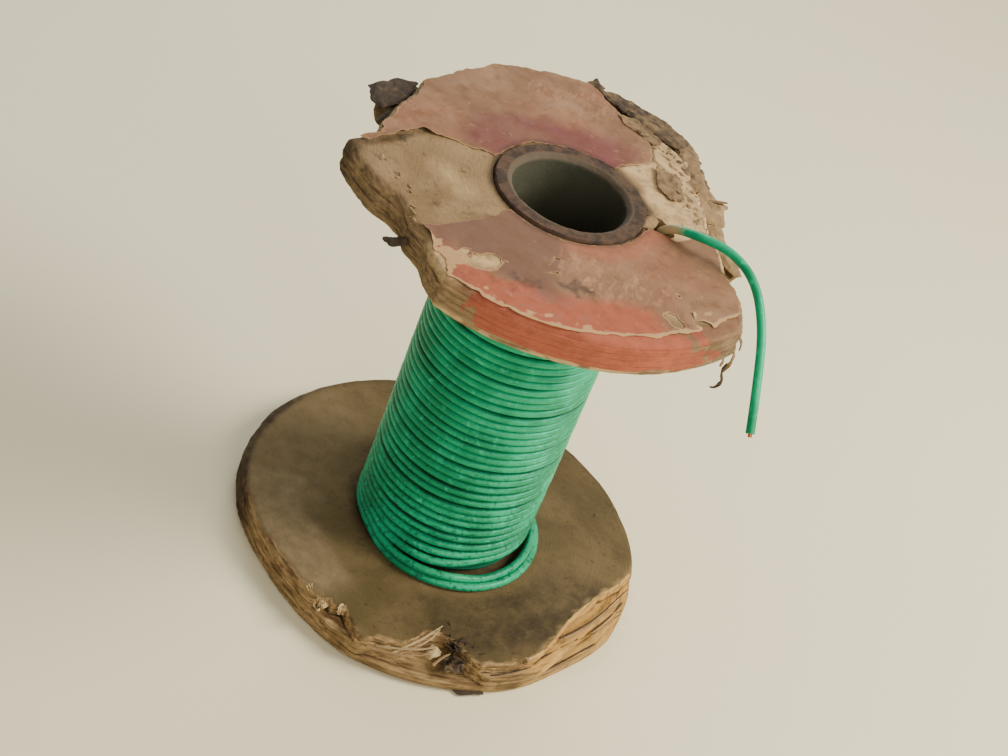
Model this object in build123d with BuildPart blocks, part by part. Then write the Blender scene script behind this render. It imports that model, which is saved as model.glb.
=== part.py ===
"""Small wire drum: two round fibre boards on a thick fibre tube, with green wire wound between them.

The boards are pressed in layers and badly worn. The upper one is broken away on its left and right
and has lost part of its red paper, and the lower one is split into layers along its right front.
Millimetres. The origin is the middle of the tube at floor level, +Z is up and -Y is the front.
"""
import math
import os

from build123d import *

# end boards
flange_radius = 84.0
flange_thickness = 14.0
layer_thickness = 4.6  # one pressed layer, about three to a board
rim_wear = 1.6  # worn slope along the sound rim
drum_height = 178.0  # floor to the upper board's top face

# tube
tube_bore_radius = 22.0
tube_wall = 7.0
tube_proud = 0.8  # how far its upper end stands above the board
tube_recess = 0.5  # how far its lower end stays off the floor
tube_lip = 1.6  # worn slope round the upper mouth

# wire
wire_diameter = 3.4
wound_layers = 2
loose_foot_bands = ((2, 4.0), (3, 2.0))  # turns of each band at the foot, and how far they have slipped
loose_slack = 1.15  # how much wider a slipped turn is, for each millimetre of slip
slip_azimuth = -48.0
turn_slack = 0.35  # spare room between one turn and the next
groove_depth = 1.2  # of the valley between two turns
wire_exit_azimuth = 9.5

# paper facing
paper_thickness = 0.4
paper_margin = 1.2  # bare board left along every rim and break

# fits
tube_fit = 0.2  # round the tube, in the boards and in the winding
slot_clearance = 1.3  # round the wire in its slot

# Every torn edge is a row of (azimuth in degrees, how far it lies inside the sound rim).
# Upper board, broken right through.
LEFT_BREAK = (
    (-165, 0), (-157, 4), (-149, 8), (-143, 12.5), (-137, 14), (-131, 11.5), (-124, 11), (-117, 5.5), (-110, 0),
)
RIGHT_BREAK = (
    (-27, 0), (-18, 9), (-9, 18), (2, 21), (12, 24), (24, 19.5), (38, 20), (49, 17), (57, 7), (64, 5.5),
    (69, 8), (75, 4), (81, 8.5), (86, 8), (91, 3.5), (97, 0),
)
BACK_BREAK = ((126, 0), (134, 3), (143, 5.5), (151, 5), (153, 0))
BACK_LEFT_NOTCH = ((167, 0), (171, 9), (179, 8.5), (188, 8.5), (192, 4), (194, 0))

# Upper board, top layer torn off.
BACK_LEFT_LAYER = ((124, 0), (134, 4), (151, 6.5), (158, 10), (171, 10.5), (180, 10), (189, 9), (193, 3), (194, 0))
RIGHT_LAYER = (
    (-16, 12), (-8, 20), (2, 25), (14, 30), (30, 28), (44, 26), (55, 18), (70, 16), (84, 13), (92, 5.5),
)
RIGHT_MIDDLE_LAYER = ((0, 22), (12, 26), (27, 23), (41, 22.5), (52, 14), (67, 11), (80, 10), (88, 6))

# Lower board, worn through at its left and with its upper layers torn off elsewhere.
LEFT_WEAR = ((-172, 0), (-160, 2), (-146, 4), (-132, 5), (-118, 4), (-106, 1.5), (-98, 0))
LOWER_TOP_LAYER = (
    (-66, 0), (-62, 3), (-55, 2.5), (-46, 4), (-38, 8), (-29, 12), (-18, 12.5), (-8, 11), (2, 4), (8, 0),
)
LOWER_MIDDLE_LAYER = ((-46, 0), (-37, 4), (-26, 6.5), (-14, 5), (-3, 0))
FRONT_NOTCH = ((-97, 0), (-91, 3), (-86, 6), (-83, 10), (-80, 15), (-75, 16), (-70, 12), (-66, 5), (-62, 0))
LEFT_CHIP = ((-119, 0), (-114, 5), (-111, 8), (-109, 6), (-106, 8.5), (-103, 5), (-98, 0))

# The two paper remnants, closed well outside the rim or inside the tube.
BACK_PAPER = (
    (193, -30), (191, 8), (186, 19), (178, 29), (177, 40), (171, 50), (175, 64), (50, 64), (58, 43),
    (68, 33), (70, 22), (80, 12), (89, 0), (91, -40), (130, -40),
)
FRONT_PAPER = (
    (-134, -40), (-129, 11), (-127, 20), (-126, 33), (-124, 47), (-135, 65), (-14, 65), (-2, 55), (1, 49),
    (-4, 42), (6, 35), (6, 27), (-6, 23), (-14, 16), (-21, 0), (-21, -40), (-60, -50), (-100, -50),
)

# The wire's loose start, counted from where it leaves the outer layer: up through the slot,
# over the broken rim and down.
WIRE_OFFSETS = (
    (0.0, 0.0, 0.0), (0.0, 0.0, 8.0), (4.9, -5.0, 17.0), (15.4, -9.5, 20.5), (28.0, -11.5, 21.0),
    (39.5, -18.5, 17.5), (47.5, -30.5, 8.5), (52.5, -44.5, -3.5), (57.0, -57.0, -18.0),
)

tube_outer_radius = tube_bore_radius + tube_wall
upper_underside = drum_height - flange_thickness
lower_top = flange_thickness


def polar_point(azimuth, radius):
    """Point of a circle about the tube's axis."""
    angle = math.radians(azimuth)
    return radius * math.cos(angle), radius * math.sin(angle)


def broken_area(stretch, height, margin=0.0):
    """Sketch of what a break takes away, from the broken edge out past the rim."""
    clear_of_rim = 1.3 * flange_radius
    broken_edge = [polar_point(azimuth, flange_radius - depth - margin) for azimuth, depth in stretch]
    outside = [polar_point(azimuth, clear_of_rim) for azimuth, _ in reversed(stretch)]
    with BuildSketch(Plane.XY.offset(height)) as area:
        with BuildLine():
            Polyline(*broken_edge, *outside, close=True)
        make_face()
    return area.sketch


def torn_paper(edge):
    """Closed outline of a paper remnant before it is cut back to the board."""
    return [polar_point(azimuth, flange_radius - inside) for azimuth, inside in edge]


exit_x, exit_y = polar_point(wire_exit_azimuth, tube_outer_radius + (wound_layers - 0.5) * wire_diameter)
wire_exit = Vector(exit_x, exit_y, upper_underside)
route = [wire_exit + Vector(*offset) for offset in WIRE_OFFSETS]


def wire_slot(height):
    """Sketch of the torn slot that lets the wire through the upper board and its paper."""
    start = Vector(route[0].X, route[0].Y)
    end = Vector(route[2].X, route[2].Y)
    along = end - start
    middle = (start + end) * 0.5
    with BuildSketch(Plane.XY.offset(height)) as slot:
        with Locations((middle.X, middle.Y)):
            SlotCenterToCenter(
                along.length,
                wire_diameter + 2 * slot_clearance,
                rotation=math.degrees(math.atan2(along.Y, along.X)),
            )
    return slot.sketch


def board_profile(bottom):
    """Half section of a sound board with a worn rim, on its own bore."""
    bore_radius = tube_outer_radius + tube_fit
    with BuildSketch(Plane.XZ) as profile:
        with Locations((bore_radius, bottom)):
            Rectangle(flange_radius - bore_radius, flange_thickness, align=(Align.MIN, Align.MIN))
        chamfer(profile.vertices().group_by(Axis.X)[-1], rim_wear)
    return profile.sketch


def paper_remnant(torn_edge):
    """Sketch of one remnant of the round paper, cut back along the upper board's breaks."""
    with BuildSketch(Plane.XY.offset(drum_height)) as remnant:
        Circle(flange_radius - rim_wear - paper_margin)
        with BuildLine():
            Polyline(*torn_paper(torn_edge), close=True)
        make_face(mode=Mode.INTERSECT)
        Circle(tube_outer_radius + paper_margin, mode=Mode.SUBTRACT)
        for stretch in (LEFT_BREAK, RIGHT_BREAK, BACK_BREAK, BACK_LEFT_NOTCH, BACK_LEFT_LAYER, RIGHT_LAYER):
            add(broken_area(stretch, 0, paper_margin), mode=Mode.SUBTRACT)
        add(wire_slot(0), mode=Mode.SUBTRACT)
    return remnant.sketch


# lower board, whole underneath, with its upper layers torn back
with BuildPart() as flange_lower:
    revolve(board_profile(0), axis=Axis.Z)
    for stretch, cut_depth in (
        (LEFT_WEAR, flange_thickness),
        (LOWER_TOP_LAYER, layer_thickness),
        (LOWER_MIDDLE_LAYER, 2 * layer_thickness),
        (FRONT_NOTCH, 2 * layer_thickness),
        (LEFT_CHIP, layer_thickness),
    ):
        extrude(broken_area(stretch, lower_top), amount=-cut_depth, mode=Mode.SUBTRACT)

# upper board, broken right through on its left, right and back
with BuildPart() as flange_upper:
    revolve(board_profile(upper_underside), axis=Axis.Z)
    for stretch in (LEFT_BREAK, RIGHT_BREAK, BACK_BREAK, BACK_LEFT_NOTCH):
        extrude(broken_area(stretch, drum_height), amount=-flange_thickness, mode=Mode.SUBTRACT)
    for stretch, cut_depth in (
        (BACK_LEFT_LAYER, layer_thickness),
        (RIGHT_LAYER, layer_thickness),
        (RIGHT_MIDDLE_LAYER, 2 * layer_thickness),
    ):
        extrude(broken_area(stretch, drum_height), amount=-cut_depth, mode=Mode.SUBTRACT)
    extrude(wire_slot(drum_height), amount=-flange_thickness, mode=Mode.SUBTRACT)

# what is left of the red paper, behind and in front of the tube
with BuildPart() as paper_back:
    extrude(paper_remnant(BACK_PAPER), amount=paper_thickness)

with BuildPart() as paper_front:
    extrude(paper_remnant(FRONT_PAPER), amount=paper_thickness)

# tube, open right through, with a worn lip round its upper mouth
with BuildPart() as core_tube:
    with BuildSketch(Plane.XY.offset(tube_recess)):
        Circle(tube_outer_radius)
        Circle(tube_bore_radius, mode=Mode.SUBTRACT)
    extrude(amount=drum_height + tube_proud - tube_recess)
    chamfer(core_tube.edges().filter_by(GeomType.CIRCLE).group_by(Axis.Z)[-1].sort_by(SortBy.RADIUS)[0], tube_lip)

# winding, turned in one piece with a groove between its turns
wound_length = upper_underside - lower_top
turn_count = round(wound_length / (wire_diameter + turn_slack))
turn_pitch = wound_length / turn_count
winding_radius = tube_outer_radius + wound_layers * wire_diameter


def turns_edge(turns, bottom, radius):
    """Outer edge of some turns in section, from their lowest valley up, without the last valley."""
    edge = []
    for turn in range(turns):
        turn_bottom = bottom + turn * turn_pitch
        edge += [(radius - groove_depth, turn_bottom), (radius, turn_bottom + turn_pitch / 2)]
    return edge


def turned_band(edge, inside, bottom, top):
    """Section of a band of turns between two heights, to be turned about its axis."""
    with BuildSketch(Plane.XZ) as section:
        with BuildLine():
            Polyline((inside, bottom), *edge, (edge[0][0], top), (inside, top), close=True)
        make_face()
    return section.sketch


with BuildPart() as wire_winding:
    # the loose turns lie on the board, slipped towards one side, with their far side near the tube
    slip_x, slip_y = polar_point(slip_azimuth, 1.0)
    band_bottom = lower_top
    for turns, slip in loose_foot_bands:
        band_top = band_bottom + turns * turn_pitch
        loose_turns = turns_edge(turns, band_bottom, winding_radius + loose_slack * slip)
        band = revolve(
            turned_band(loose_turns, tube_outer_radius + slip, band_bottom, band_top),
            axis=Axis.Z,
            mode=Mode.PRIVATE,
        )
        add(band.moved(Location((slip * slip_x, slip * slip_y, 0))))
        band_bottom = band_top
    foot_turns = sum(turns for turns, _ in loose_foot_bands)
    straight_turns = turns_edge(turn_count - foot_turns, band_bottom, winding_radius)
    foot_radius = winding_radius - 1.5 * groove_depth
    with BuildSketch(Plane.XZ) as straight_section:
        with BuildLine():
            Polyline(
                (tube_outer_radius, lower_top),
                (foot_radius, lower_top),
                (foot_radius, band_bottom),
                *straight_turns,
                (straight_turns[0][0], upper_underside),
                (tube_outer_radius, upper_underside),
                close=True,
            )
        make_face()
    revolve(axis=Axis.Z)
    with Locations((0, 0, lower_top)):
        Cylinder(
            tube_outer_radius + tube_fit,
            wound_length,
            align=(Align.CENTER, Align.CENTER, Align.MIN),
            mode=Mode.SUBTRACT,
        )

# loose start of the wire
bend_radii = []
for before, corner, after in zip(route, route[1:], route[2:]):
    half_turn = (corner - before).get_angle(after - corner) / 2
    shorter_run = min((corner - before).length, (after - corner).length)
    bend_radii.append(0.45 * shorter_run / math.tan(math.radians(half_turn)))
print("bend radii of the wire:", [round(radius, 1) for radius in bend_radii])

with BuildPart() as wire_end:
    with BuildLine() as wire_line:
        FilletPolyline(*route, radius=bend_radii)
    with BuildSketch(Plane(wire_exit, z_dir=route[1] - route[0])):
        Circle(wire_diameter / 2)
    sweep(path=wire_line.line)
wire_length = wire_line.wires()[0].length
expected_volume = math.pi * (wire_diameter / 2) ** 2 * wire_length
print("wire end: length %.1f, volume %.1f of %.1f" % (wire_length, wire_end.part.volume, expected_volume))

flange_lower.part.label = "flange_lower"
flange_upper.part.label = "flange_upper"
paper_back.part.label = "paper_back"
paper_front.part.label = "paper_front"
core_tube.part.label = "core_tube"
wire_winding.part.label = "wire_winding"
wire_end.part.label = "wire_end"

os.makedirs("parts", exist_ok=True)
export_step(flange_lower.part, "parts/flange_lower.step")
export_step(flange_upper.part, "parts/flange_upper.step")
export_step(paper_back.part, "parts/paper_back.step")
export_step(paper_front.part, "parts/paper_front.step")
export_step(core_tube.part, "parts/core_tube.step")
export_step(wire_winding.part, "parts/wire_winding.step")
export_step(wire_end.part, "parts/wire_end.step")
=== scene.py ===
"""Looks of the small board-ended wire drum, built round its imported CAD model.

Lengths are written in millimetres and turned to metres where a mesh is made. The camera, the lights, the
floor and the loose wire are placed in metres, and so is the dirt on the wire.
The frame is the CAD one: +Z up along the tube, -Y to the front.
"""
import functools
import itertools
import math

import bpy
import numpy as np
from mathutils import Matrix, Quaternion, Vector
from mathutils.bvhtree import BVHTree


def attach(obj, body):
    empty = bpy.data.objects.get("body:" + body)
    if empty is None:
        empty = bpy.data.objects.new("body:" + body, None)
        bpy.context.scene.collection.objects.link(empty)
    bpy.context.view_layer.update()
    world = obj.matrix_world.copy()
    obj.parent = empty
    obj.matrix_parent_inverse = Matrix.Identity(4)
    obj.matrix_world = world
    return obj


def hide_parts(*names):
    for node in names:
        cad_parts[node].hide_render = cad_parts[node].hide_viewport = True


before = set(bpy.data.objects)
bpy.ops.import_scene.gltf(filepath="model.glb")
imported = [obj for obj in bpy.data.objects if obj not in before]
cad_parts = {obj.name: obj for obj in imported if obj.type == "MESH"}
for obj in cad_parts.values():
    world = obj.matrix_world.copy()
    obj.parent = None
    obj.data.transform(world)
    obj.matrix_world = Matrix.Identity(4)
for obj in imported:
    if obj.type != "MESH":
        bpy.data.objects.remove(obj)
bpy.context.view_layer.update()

MM = 0.001
AZIMUTHS = 720
azimuth = np.radians(np.arange(AZIMUTHS) * 360.0 / AZIMUTHS)
cos_az, sin_az = np.cos(azimuth), np.sin(azimuth)

# main sizes, as in the CAD source
FLANGE_RADIUS = 84.0
FLANGE_THICKNESS = 14.0
DRUM_HEIGHT = 178.0
TUBE_BORE_RADIUS = 22.0
TUBE_OUTER_RADIUS = 29.0
TUBE_LIP = 1.6
TUBE_TOP = 179.4  # a little above the CAD tube's 178.8
TUBE_FOOT = 0.5
WIRE_DIAMETER = 3.4
UPPER_UNDERSIDE = DRUM_HEIGHT - FLANGE_THICKNESS
LOWER_TOP = FLANGE_THICKNESS
TUBE_CLEAR_RADIUS = TUBE_OUTER_RADIUS + 0.3

# looks of the boards
SUBLAYERS = 6  # layers that show at a torn edge
RIM_ROUND = 2.0  # radius of the worn lower arris
PLY_FINE = 1.1  # size of the streaks across the layers
PLY_ROUND = 9.0  # radius of the circle that their noise follows round the axis


# helpers: numbers and noise

NOISE_CELLS = 32  # along each side of the table that repeats
NOISE_SHIFT = 512.37


def lattice(points, size, seed):
    """Smooth random values from -1 to 1 at points in millimetres, with bumps about size across."""
    table = np.random.default_rng(seed).uniform(-1, 1, (NOISE_CELLS,) * 3)
    place = np.asarray(points, float) / size + NOISE_SHIFT
    cell = np.floor(place).astype(int)
    part = place - cell
    part = part * part * (3 - 2 * part)
    total = 0.0
    for corner in itertools.product((0, 1), repeat=3):
        share = 1.0
        for k in range(3):
            share = share * (part[..., k] if corner[k] else 1 - part[..., k])
        index = (cell + np.array(corner)) % NOISE_CELLS
        total = total + share * table[index[..., 0], index[..., 1], index[..., 2]]
    return total


def cloud(points, size, seed, octaves=3):
    """Several sizes of smooth noise added up, still about -1 to 1."""
    total, weight = 0.0, 0.0
    for k in range(octaves):
        share = 0.5 ** k
        total = total + share * lattice(points, size * 0.5 ** k, seed + 17 * k)
        weight += share
    return total / weight * 1.5


def rise(low, high, value):
    """0 where the value is at low, 1 where it is at high, and a soft rise between."""
    part = np.clip((value - low) / (high - low), 0, 1)
    return part * part * (3 - 2 * part)


def highest(*values):
    """The highest of several arrays, place by place."""
    return functools.reduce(np.maximum, values)


def polar(radius, angle, height):
    """Points in millimetres from radius, angle in radians and height, broadcast together."""
    radius, angle, height = np.broadcast_arrays(radius, angle, height)
    return np.stack([radius * np.cos(angle), radius * np.sin(angle), height], -1)


def place_at(azimuth_deg, radius):
    """A place in plan."""
    return radius * math.cos(math.radians(azimuth_deg)), radius * math.sin(math.radians(azimuth_deg))


def unit(vectors):
    """Vectors of length 1 in the same directions."""
    return vectors / np.linalg.norm(vectors, axis=-1, keepdims=True)


def full_turn(count):
    """Angles in radians of count even steps round a circle."""
    return np.arange(count) * 2 * math.pi / count


def degrees_from(centre_deg, angle):
    """How far angles in radians lie from an azimuth in degrees, on either side."""
    return np.abs(np.degrees(np.angle(np.exp(1j * (angle - math.radians(centre_deg))))))


def around(centre_deg, half_width_deg):
    """1 at a given azimuth, falling smoothly to 0 half_width away."""
    return rise(1, 0, degrees_from(centre_deg, azimuth) / half_width_deg)


def band(angle, start_deg, end_deg, fade_deg=10.0):
    """1 between two azimuths in degrees, falling to 0 over fade_deg beyond them."""
    half = (end_deg - start_deg) / 2
    return rise(half + fade_deg, half, degrees_from((start_deg + end_deg) / 2, angle))


def ramp_of(*pairs):
    """Values at every azimuth from (degrees, value) pairs, joined round the circle."""
    (first_deg, first), (last_deg, last) = pairs[0], pairs[-1]
    degrees, values = zip((last_deg - 360, last), *pairs, (first_deg + 360, first))
    return np.interp(np.degrees(azimuth), degrees, values)


def off_line(x, y, start, end):
    """Distance in plan from a straight stretch."""
    run = np.subtract(end, start)
    along = np.clip(((x - start[0]) * run[0] + (y - start[1]) * run[1]) / (run @ run), 0, 1)
    return np.hypot(x - start[0] - along * run[0], y - start[1] - along * run[1])


def near_line(x, y, start, end, half_width):
    """1 on a straight stretch in plan, falling to 0 half_width away."""
    return rise(half_width, 0, off_line(x, y, start, end))


def oval(x, y, centre_x, centre_y, long, short, turn_deg=0.0):
    """1 at the middle of an oval and 0 at its edge, less outside."""
    turned = math.radians(turn_deg)
    u = (x - centre_x) * math.cos(turned) + (y - centre_y) * math.sin(turned)
    v = (y - centre_y) * math.cos(turned) - (x - centre_x) * math.sin(turned)
    return 1 - np.sqrt((u / long) ** 2 + (v / short) ** 2)


# helpers: meshes

def add_object(name, data):
    """Object in the scene for some new data."""
    made = bpy.data.objects.new(name, data)
    bpy.context.scene.collection.objects.link(made)
    return made


def store(mesh, key, values):
    """Keeps a number or a vector for every vertex, for the materials to read."""
    kind, field = ("FLOAT_VECTOR", "vector") if values.ndim > 1 else ("FLOAT", "value")
    mesh.attributes.new(key, kind, "POINT").data.foreach_set(field, values.astype(np.float32).ravel())


def ring_faces(rings, around_count, close_rings=True):
    """Quads of a grid of rings that close round the axis, and also ring to ring if close_rings."""
    j = np.arange(rings if close_rings else rings - 1)[:, None]
    i = np.arange(around_count)[None, :]
    j2, i2 = (j + 1) % rings, (i + 1) % around_count
    quads = np.stack(np.broadcast_arrays(
        j * around_count + i, j2 * around_count + i, j2 * around_count + i2, j * around_count + i2), -1)
    return quads.reshape(-1, 4).tolist()


def rod_faces(rings, sides):
    """Faces of a row of rings with both ends capped."""
    last = (rings - 1) * sides
    return ring_faces(rings, sides, False) + [list(range(sides)), list(range(last, last + sides))[::-1]]


class Heap:
    """Collects separate closed shells into one mesh."""

    def __init__(self):
        self.points, self.faces, self.values = [], [], []
        self.count = 0

    def add(self, points, faces, **values):
        """Adds a shell, with a value or an array of values for each attribute of its vertices."""
        points = np.asarray(points, float).reshape(-1, 3)
        self.points.append(points)
        self.faces += [[k + self.count for k in face] for face in faces]
        self.values.append({k: np.broadcast_to(np.ravel(v), len(points)).astype(float)
                            for k, v in values.items()})
        self.count += len(points)

    def surface(self):
        """Everything collected so far as a search tree, for crumbs to lie on."""
        return BVHTree.FromPolygons(np.concatenate(self.points).tolist(), self.faces)

    def make(self, name, material, sharp_deg=50):
        """Mesh object of everything collected, riding on the root body."""
        points = np.concatenate(self.points)
        mesh = bpy.data.meshes.new(name)
        mesh.from_pydata((points * MM).tolist(), [], self.faces)
        mesh.update()
        mesh.polygons.foreach_set("use_smooth", [True] * len(mesh.polygons))
        mesh.set_sharp_from_angle(angle=math.radians(sharp_deg))
        for key in sorted({k for row in self.values for k in row}):
            store(mesh, key, np.concatenate([
                row.get(key, np.zeros(len(part))) for row, part in zip(self.values, self.points)]))
        # a place that runs slowly round the axis and fast across the layers, for streaks along them
        radius, angle = np.hypot(points[:, 0], points[:, 1]), np.arctan2(points[:, 1], points[:, 0])
        fine = [radius / PLY_FINE, points[:, 2] / PLY_FINE]
        store(mesh, "ply", np.stack([*fine, PLY_ROUND * np.cos(angle)], -1))
        store(mesh, "ply_turn", PLY_ROUND * np.sin(angle))
        mesh.materials.append(material)
        made = add_object(name, mesh)
        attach(made, "root")
        return made


# materials

def colour(red, green, blue):
    """Linear colour from the usual 0-255 values."""
    def linear(value):
        value /= 255
        return value / 12.92 if value <= 0.04045 else ((value + 0.055) / 1.055) ** 2.4
    return (linear(red), linear(green), linear(blue), 1.0)


class Finish:
    """A node material put together in few lines."""

    def __init__(self, name, roughness=0.8, specular=0.3):
        self.material = bpy.data.materials.new(name)
        self.material.use_nodes = True
        self.tree = self.material.node_tree
        self.shader = self.tree.nodes["Principled BSDF"]
        self.shader.inputs["Roughness"].default_value = roughness
        self.shader.inputs["Specular IOR Level"].default_value = specular
        self.place = self.node("TexCoord", "Object", {})

    def set(self, socket, value):
        if isinstance(value, bpy.types.NodeSocket):
            self.tree.links.new(value, socket)
        else:
            socket.default_value = value

    def node(self, kind, output, inputs, **settings):
        """Adds a node with settings and inputs, and gives one of its outputs."""
        made = self.tree.nodes.new("ShaderNode" + kind)
        for key, value in settings.items():
            setattr(made, key, value)
        for key, value in inputs.items():
            self.set(made.inputs[key], value)
        return made.outputs[output]

    def noise(self, size, detail=4.0, roughness=0.55, distortion=0.0, vector=None):
        """Noise with features about size millimetres across."""
        return self.node("TexNoise", "Fac", {
            "Vector": vector or self.place, "Scale": 1.0 / (size * MM), "Detail": detail,
            "Roughness": roughness, "Distortion": distortion})

    def attribute(self, name):
        return self.node("Attribute", "Fac", {}, attribute_name=name)

    def streaks(self, scale, detail, roughness):
        """Noise drawn out along the layers of the board."""
        place = self.node("Attribute", "Vector", {}, attribute_name="ply")
        return self.node("TexNoise", "Fac", {
            "Vector": place, "W": self.attribute("ply_turn"), "Scale": scale, "Detail": detail,
            "Roughness": roughness}, noise_dimensions="4D")

    def work_out(self, operation, first, second):
        return self.node("Math", "Value", {0: first, 1: second}, operation=operation)

    def times(self, first, second):
        return self.work_out("MULTIPLY", first, second)

    def plus(self, first, second):
        return self.work_out("ADD", first, second)

    def swing(self, noise, amount):
        """Noise turned to swing about 0, for edges that wander."""
        return self.times(self.work_out("SUBTRACT", noise, 0.5), amount)

    def ramp(self, value, low, high, start=0.0, end=1.0):
        """Maps low..high to start..end, smoothly and clamped."""
        return self.node("MapRange", "Result", {
            "Value": value, "From Min": low, "From Max": high, "To Min": start, "To Max": end},
            interpolation_type="SMOOTHSTEP")

    def mix(self, first, second, share):
        """Mixes two colours, each a socket or a triple of the usual 0-255 values."""
        first, second = (colour(*tint) if isinstance(tint, tuple) else tint for tint in (first, second))
        return self.node("Mix", 2, {6: first, 7: second, 0: share}, data_type="RGBA")

    def coats(self, base, *coats):
        """Lays coats of (colour, share) over a colour, one after the other."""
        return functools.reduce(lambda under, coat: self.mix(under, *coat), coats, base)

    def bump(self, height, distance, strength):
        """Bump of the given depth in millimetres."""
        return self.node("Bump", "Normal", {
            "Height": height, "Strength": strength, "Distance": distance * MM})

    def use(self, base=None, roughness=None, normal=None):
        for key, value in (("Base Color", base), ("Roughness", roughness), ("Normal", normal)):
            if value is not None:
                self.set(self.shader.inputs[key], value)
        return self.material


def board_finish(name, face_light, face_dark, torn_light, torn_dark, fresh_light, rim_paint=None):
    """Pressed fibre board: grubby face with painted shade and light from its marks, paler torn layers,
    painted shade deep in the gaps between layers and, on the upper rim, worn red.
    """
    finish = Finish(name, specular=0.2)
    mix, ramp, times, attribute = finish.mix, finish.ramp, finish.times, finish.attribute
    torn, gap, tone, fresh = (attribute(key) for key in ("torn", "gap", "tone", "fresh"))
    large, medium = finish.noise(38, 5, 0.6, 0.6), finish.noise(7, 6, 0.65, 0.3)
    fine, speck, streak = finish.noise(1.3, 5, 0.7), finish.noise(3.1, 3, 0.5), finish.streaks(0.8, 5, 0.65)
    face = finish.coats(
        mix(face_dark, face_light, ramp(large, 0.35, 0.65)),
        ((72, 58, 36), ramp(medium, 0.52, 0.78, 0.0, 0.6)),
        ((48, 36, 22), ramp(speck, 0.64, 0.74, 0.0, 0.5)),
        ((150, 92, 68), times(attribute("stain"), ramp(medium, 0.35, 0.6, 0.3, 0.8))),
        # paler where the marks say; on the lower board this includes painted light on the left of the face
        ((140, 120, 88), times(attribute("pale"), ramp(medium, 0.35, 0.6, 0.9, 0.5))),
        ((212, 178, 126), times(fresh, ramp(medium, 0.35, 0.6, 0.3, 0.85))))
    fibre = finish.coats(
        mix(torn_dark, torn_light, ramp(streak, 0.36, 0.62)),
        ((84, 60, 34), ramp(medium, 0.5, 0.72, 0.0, 0.55)),
        (fresh_light, times(fresh, ramp(streak, 0.3, 0.55, 0.2, 1.0))))
    base = mix(face, fibre, ramp(finish.plus(torn, finish.swing(medium, 1.1)), 0.25, 0.75))
    if rim_paint:
        paint = mix(rim_paint, (158, 86, 62), ramp(medium, 0.42, 0.66))
        base = mix(base, paint, ramp(finish.plus(attribute("red"), finish.swing(speck, 1.0)), 0.4, 0.6))
    flake = finish.coats(
        (66, 55, 44),
        ((150, 122, 84), ramp(tone, 0.2, 0.6)),
        ((226, 200, 146), ramp(tone, 0.6, 1.0)),
        ((60, 44, 28), ramp(streak, 0.5, 0.7, 0.0, 0.5)))
    base = finish.coats(
        base,
        # darker where the marks say: dirt and stains, and also painted shade round the tube, in cracks, on
        # shaded sides and over the lower board's right
        ((52, 40, 27), times(attribute("dark"), ramp(medium, 0.3, 0.6, 0.45, 0.9))),
        (flake, ramp(tone, 0.02, 0.08)),
        # painted shade deep in the gaps between the layers
        ((26, 18, 11), ramp(gap, 0.15, 0.9, 0.0, 0.93)),
        ((34, 25, 16), ramp(fine, 0.6, 0.8, 0.0, 0.4)))
    relief = finish.plus(times(fine, 0.6), finish.plus(medium, streak))
    return finish.use(base, ramp(fine, 0.3, 0.7, 0.72, 0.95), finish.bump(relief, 0.5, 0.8))


# camera, lights and floor

CAMERA_PLACE = Vector((0.0, -0.6948, 0.605))
CAMERA_AIM = Vector((0.003, 0.0, 0.09))
CAMERA_ROLL_DEG = 22.25
LIGHT_AIM = Vector((0, 0, 0.08))


def facing(place, aim):
    """Rotation of a camera or light at a place, to look at another."""
    return (aim - place).to_track_quat("-Z", "Y")


camera_data = bpy.data.cameras.new("camera")
camera_data.lens = 80.0
camera_data.sensor_width = 36.0
camera_data.clip_start = 0.05
camera = add_object("camera", camera_data)
camera.location = CAMERA_PLACE
camera.rotation_mode = "QUATERNION"
camera.rotation_quaternion = (
    facing(CAMERA_PLACE, CAMERA_AIM) @ Quaternion((0, 0, 1), math.radians(CAMERA_ROLL_DEG)))
bpy.context.scene.camera = camera

for name, place, size, power, tint in (
        ("key", (0.75, 0.1, 0.75), 0.5, 15.0, (1.0, 0.95, 0.87)),
        ("back", (-0.25, 0.9, 0.7), 0.8, 6.0, (0.97, 0.98, 1.0)),
        ("front", (0.5, -0.85, 0.6), 0.8, 5.5, (1.0, 0.96, 0.9))):
    light_data = bpy.data.lights.new(name, "AREA")
    light_data.shape = "DISK"
    light_data.size = size
    light_data.energy = power
    light_data.color = tint
    light = add_object(name, light_data)
    light.location = place
    light.rotation_mode = "QUATERNION"
    light.rotation_quaternion = facing(Vector(place), LIGHT_AIM)

world = bpy.data.worlds.new("world")
bpy.context.scene.world = world
world.use_nodes = True
sky = world.node_tree.nodes["Background"].inputs
sky["Color"].default_value = (1.0, 0.98, 0.93, 1.0)
sky["Strength"].default_value = 0.42

floor_finish = Finish("floor", roughness=0.55, specular=0.3)
floor_finish.use(floor_finish.mix((233, 222, 180), (238, 229, 194), floor_finish.noise(260, 2, 0.5)))
floor_mesh = bpy.data.meshes.new("floor")
floor_mesh.from_pydata([(-4, -4, 0), (4, -4, 0), (4, 4, 0), (-4, 4, 0)], [], [(0, 1, 2, 3)])
floor_mesh.materials.append(floor_finish.material)
floor = add_object("floor", floor_mesh)


# torn sheets and flakes

FLAKE_MARGIN = 2.5  # how far the grid of a flake reaches past its outline
CHIP_CORNERS = 7


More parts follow.
